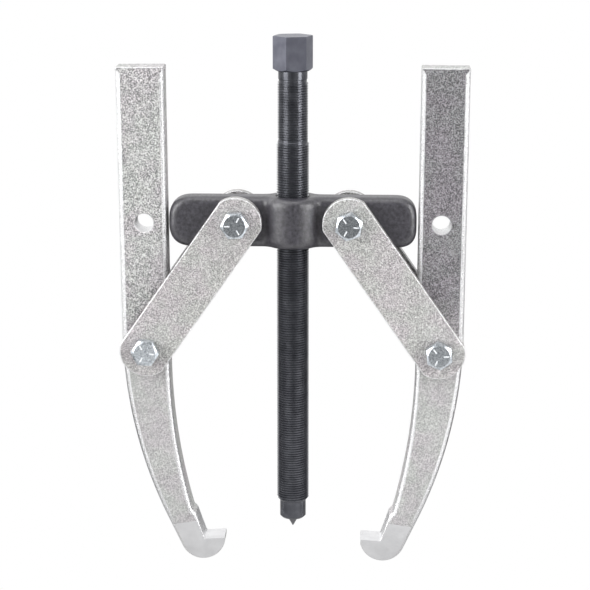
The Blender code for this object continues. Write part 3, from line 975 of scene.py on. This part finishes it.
def make_nut(name, body):
    node = name + "_nut"
    corner = NUT_ACROSS_FLATS / math.sqrt(3.0)
    seat, flats_top, collar, lip = 8.4 * MM, NUT_FLATS_TOP, 8.0 * MM, 6.6 * MM
    pocket = INSERT_OUTER + INSERT_GAP
    outside = corner + 1 * MM
    slope = math.tan(math.radians(30))
    nut = lathe(node + "_body", soften([
        (lip, NUT_HEIGHT),
        (collar - 1.2 * MM, NUT_HEIGHT),
        (collar, NUT_HEIGHT - 1.2 * MM),
        (collar, flats_top + 0.8 * MM),
        (seat, flats_top + 0.8 * MM),
        (outside, flats_top - (outside - corner) * slope),
        (outside, (outside - seat) * slope),
        (seat, 0.0),
        (NUT_BORE + 0.6 * MM, 0.0),
        (NUT_BORE, 0.6 * MM),
        (NUT_BORE, flats_top),
        (pocket, flats_top),
        (pocket, POCKET_TOP),
        (lip, POCKET_TOP)], 0.15 * MM, closed=True), 72, closed=True)
    hexed(nut, NUT_ACROSS_FLATS, NUT_TURN, -1 * MM, NUT_HEIGHT + 1 * MM, 0.16 * MM)
    shade(nut)
    nut.rotation_euler = (-math.pi / 2, 0.0, 0.0)
    nut.location = bolt_place(name, SEAT_Y)
    finish_piece(nut, ["bright_zinc"], "zinc_hardware", body, node)


def make_insert(name, body):
    """The nylon ring in the nut's pocket."""
    node = name + "_nut_insert"
    low, high = NUT_FLATS_TOP + INSERT_GAP, POCKET_TOP - INSERT_GAP
    insert = lathe(node + "_ring", soften([
        (INSERT_OUTER, high), (INSERT_OUTER, low), (NUT_BORE, low),
        (NUT_BORE, high)], 0.3 * MM, closed=True), 64, closed=True)
    shade(insert)
    insert.rotation_euler = (-math.pi / 2, 0.0, 0.0)
    insert.location = bolt_place(name, SEAT_Y)
    finish_piece(insert, ["nylon"], "nylon", body, node)


# ------------------------------------------------------------------- stage
# how bright the surroundings look to the object, by direction
WORLD_FRONT = 0.17
WORLD_BACK = 1.1
WORLD_LEFT = 1.35
FRONT_TO_BACK = (-0.75, 0.3)                # where along Y the one becomes the other
LEFT_FADE_IN = (-0.2, -0.85)                # where along X the left's glow grows
FLOOR_HALF = 30.0
FLOOR_DROP = 4 * MM
FLOOR_BASE = 0.08
FLOOR_SIDE_GLOW = 0.6
SIDE_GLOW_FROM = (0.45, 0.8)                # how far out the floor's sides light up
# pools of light on the floor: each is a place and a strength
POOL_INNER = 0.08
POOL_OUTER = 0.29
FLOOR_POOLS = [((-0.22, -0.34, 0.0), 1.4), ((0.28, -0.26, 0.0), 1.5),
               ((0.0, -0.10, 0.0), 0.72)]
# a long lens a little above the object and to its right
CAMERA_AZIMUTH = math.radians(2.3)
CAMERA_ELEVATION = math.radians(13.6)
CAMERA_DISTANCE = 1242 * MM
CAMERA_LENS = 117.6
CAMERA_SENSOR = 36.0
AIM_HEIGHT = -49.3 * MM
AIM_SIDE = 1.35 * MM
# soft lights: name, place, size and power in watts, all turned towards one point
LIGHT_TARGET = (0.0, 0.0, -0.03)
SOFT_BOXES = [
    ("left_soft_box", (-1.1, -0.75, 0.35), (0.9, 1.4), 16.0),
    ("right_soft_box", (1.15, -0.65, 0.25), (0.7, 1.3), 17.0),
    ("top_soft_box", (-0.1, -0.25, 1.2), (1.1, 0.7), 5.0),
]


def area_light(name, place, size, power):
    data = bpy.data.lights.new(name, "AREA")
    data.shape = "RECTANGLE"
    data.size, data.size_y = size
    data.energy = power
    light = bpy.data.objects.new(name, data)
    bpy.context.scene.collection.objects.link(light)
    light.location = place
    aim = Vector(LIGHT_TARGET) - Vector(place)
    light.rotation_euler = aim.to_track_quat("-Z", "Y").to_euler()
    light.visible_camera = False
    return light


def add_values(tree, first, second):
    total = tree.nodes.new("ShaderNodeMath")
    tree.links.new(first, total.inputs[0])
    tree.links.new(second, total.inputs[1])
    return total.outputs[0]


def faded(tree, value, low, high, to_low, to_high):
    """value from low..high to to_low..to_high, clamped."""
    ranged = tree.nodes.new("ShaderNodeMapRange")
    for name, number in (("From Min", low), ("From Max", high),
                         ("To Min", to_low), ("To Max", to_high)):
        ranged.inputs[name].default_value = number
    tree.links.new(value, ranged.inputs["Value"])
    return ranged.outputs["Result"]


def floor_pool(tree, place, center, strength):
    """A round pool of light on the floor that fades at its rim."""
    reach = tree.nodes.new("ShaderNodeVectorMath")
    reach.operation = "DISTANCE"
    reach.inputs[1].default_value = center
    tree.links.new(place, reach.inputs[0])
    return faded(tree, reach.outputs["Value"], POOL_INNER, POOL_OUTER, strength, 0.0)


def make_floor():
    """A floor the camera sees as white, and the object sees as pools of light."""
    half = FLOOR_HALF
    floor = mesh_object("floor", [(-half, -half, 0.0), (half, -half, 0.0),
                                  (half, half, 0.0), (-half, half, 0.0)],
                        [(0, 1, 2, 3)])
    floor.location.z = CAD_BOX[0][2] - FLOOR_DROP
    material = bpy.data.materials.new("floor")
    material.use_nodes = True
    tree = material.node_tree
    tree.nodes.clear()
    place = tree.nodes.new("ShaderNodeTexCoord").outputs["Object"]
    split = tree.nodes.new("ShaderNodeSeparateXYZ")
    tree.links.new(place, split.inputs["Vector"])
    sideways = tree.nodes.new("ShaderNodeMath")
    sideways.operation = "ABSOLUTE"
    tree.links.new(split.outputs["X"], sideways.inputs[0])
    total = faded(tree, sideways.outputs[0], *SIDE_GLOW_FROM, FLOOR_BASE,
                  FLOOR_SIDE_GLOW)
    for center, strength in FLOOR_POOLS:
        total = add_values(tree, total, floor_pool(tree, place, center, strength))
    lit = tree.nodes.new("ShaderNodeEmission")
    tree.links.new(total, lit.inputs["Strength"])
    white = tree.nodes.new("ShaderNodeEmission")
    path = tree.nodes.new("ShaderNodeLightPath")
    mixer = tree.nodes.new("ShaderNodeMixShader")
    tree.links.new(path.outputs["Is Camera Ray"], mixer.inputs[0])
    tree.links.new(lit.outputs[0], mixer.inputs[1])
    tree.links.new(white.outputs[0], mixer.inputs[2])
    output = tree.nodes.new("ShaderNodeOutputMaterial")
    tree.links.new(mixer.outputs[0], output.inputs["Surface"])
    floor.data.materials.append(material)


def make_world():
    """White to the camera; to the object brighter behind and at the left."""
    world = bpy.data.worlds.new("studio")
    bpy.context.scene.world = world
    world.use_nodes = True
    tree = world.node_tree
    coordinates = tree.nodes.new("ShaderNodeTexCoord")
    split = tree.nodes.new("ShaderNodeSeparateXYZ")
    tree.links.new(coordinates.outputs["Generated"], split.inputs["Vector"])
    depth = faded(tree, split.outputs["Y"], *FRONT_TO_BACK, WORLD_FRONT, WORLD_BACK)
    left = faded(tree, split.outputs["X"], *LEFT_FADE_IN, 0.0, WORLD_LEFT)
    choose = tree.nodes.new("ShaderNodeMix")
    choose.data_type = "FLOAT"
    choose.inputs["B"].default_value = 1.0
    path = tree.nodes.new("ShaderNodeLightPath")
    tree.links.new(path.outputs["Is Camera Ray"], choose.inputs["Factor"])
    tree.links.new(add_values(tree, depth, left), choose.inputs["A"])
    tree.links.new(choose.outputs[0], tree.nodes["Background"].inputs["Color"])


def make_stage():
    make_floor()
    make_world()
    [area_light(*box) for box in SOFT_BOXES]


def make_camera():
    azimuth, elevation = CAMERA_AZIMUTH, CAMERA_ELEVATION
    right = Vector((math.cos(azimuth), math.sin(azimuth), 0.0))
    target = Vector((0.0, 0.0, AIM_HEIGHT)) + right * AIM_SIDE
    back = Vector((math.sin(azimuth) * math.cos(elevation),
                   -math.cos(azimuth) * math.cos(elevation), math.sin(elevation)))
    data = bpy.data.cameras.new("camera")
    data.lens = CAMERA_LENS
    data.sensor_width = CAMERA_SENSOR
    data.clip_end = 100.0
    camera = bpy.data.objects.new("camera", data)
    bpy.context.scene.collection.objects.link(camera)
    camera.location = target + back * CAMERA_DISTANCE
    camera.rotation_euler = (-back).to_track_quat("-Z", "Y").to_euler()
    bpy.context.scene.camera = camera


make_yoke()
make_screw()
make_point()
for side_name in SIDES:
    for place_name in ("front", "rear"):
        make_strap(side_name, place_name)
    make_jaw(side_name)
    for end_name, body_name in (("yoke", "yoke"), ("jaw", side_name + "_straps")):
        for make_fastener in (make_bolt, make_nut, make_insert):
            make_fastener(side_name + "_" + end_name, body_name)
make_stage()
make_camera()
bpy.context.scene.view_settings.view_transform = "Standard"
